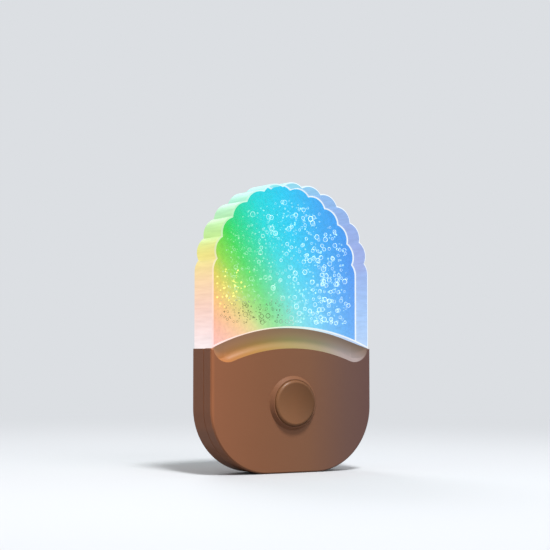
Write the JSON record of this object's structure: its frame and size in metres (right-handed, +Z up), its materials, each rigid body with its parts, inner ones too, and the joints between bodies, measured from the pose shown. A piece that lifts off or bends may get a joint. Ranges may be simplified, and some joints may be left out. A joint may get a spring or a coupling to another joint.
{
  "type": "plug-in night light",
  "caption": "Plug-in night light: clear bubble panel with a scalloped round top in a rounded housing with an arched lip, a push button and a two-blade plug.",
  "frame": {"origin": "centre of the plug's wall face, midway between the two blades", "axes": "+X across the lamp to the right as seen from the room, +Y into the wall along the blades, +Z up"},
  "size_m": [0.0534, 0.0395, 0.0837],
  "materials": {
    "housing_plastic": "fine satin moulded ABS",
    "button_plastic": "satin moulded ABS",
    "clear_acrylic": "clear polished acrylic with bubbles",
    "plated_brass": "nickel plated",
    "screw_steel": "zinc plated",
    "tinned_steel": "tinned",
    "switch_housing": "matt moulded",
    "black_plastic": "matt moulded",
    "board_laminate": "solder mask on glass-fibre laminate",
    "white_laminate": "white solder mask",
    "white_nylon": "moulded nylon",
    "led_ceramic": "white package",
    "led_resin": "clear resin",
    "film_capacitor_case": "moulded case",
    "can_sleeve": "shrink sleeve",
    "fuse_coating": "cement coating",
    "chip_ceramic": "glazed ceramic",
    "black_insulation": "PVC insulation",
    "white_insulation": "PVC insulation"
  },
  "bodies": {
    "housing": {"front_shell": "housing_plastic", "rear_shell": "housing_plastic", "light_panel": "clear_acrylic", "live_blade": "plated_brass", "neutral_blade": "plated_brass", "case_screws": "screw_steel", "switch_body": "switch_housing", "switch_cover": "tinned_steel", "switch_legs": "tinned_steel", "main_board": "board_laminate", "led_board": "white_laminate", "led_packages": "led_ceramic", "led_resin": "led_resin", "led_reflector": "white_nylon", "header_block": "black_plastic", "header_pins": "tinned_steel", "film_capacitor": "film_capacitor_case", "smoothing_capacitor": "can_sleeve", "bridge_rectifier": "black_plastic", "controller_chip": "black_plastic", "chip_resistors": "chip_ceramic", "fuse_resistor": "fuse_coating", "blade_carrier": "white_nylon", "live_wire": "black_insulation", "neutral_wire": "white_insulation", "board_screws": "screw_steel"},
    "button": {"mode_button": "button_plastic"},
    "plunger": {"switch_plunger": "switch_housing"}
  },
  "joints": [
    {"name": "button_press", "type": "slide", "parent": "housing", "child": "button", "axis": [0, 1, 0], "range_m": [0, 0.0006], "stiffness_N_per_m": 400, "springref_m": -0.001},
    {"name": "plunger_press", "type": "slide", "parent": "housing", "child": "plunger", "axis": [0, 1, 0], "range_m": [0, 0.0006]}
  ],
  "couplings": [
    {"joint": "plunger_press", "follows": "button_press", "ratio": 1}
  ]
}
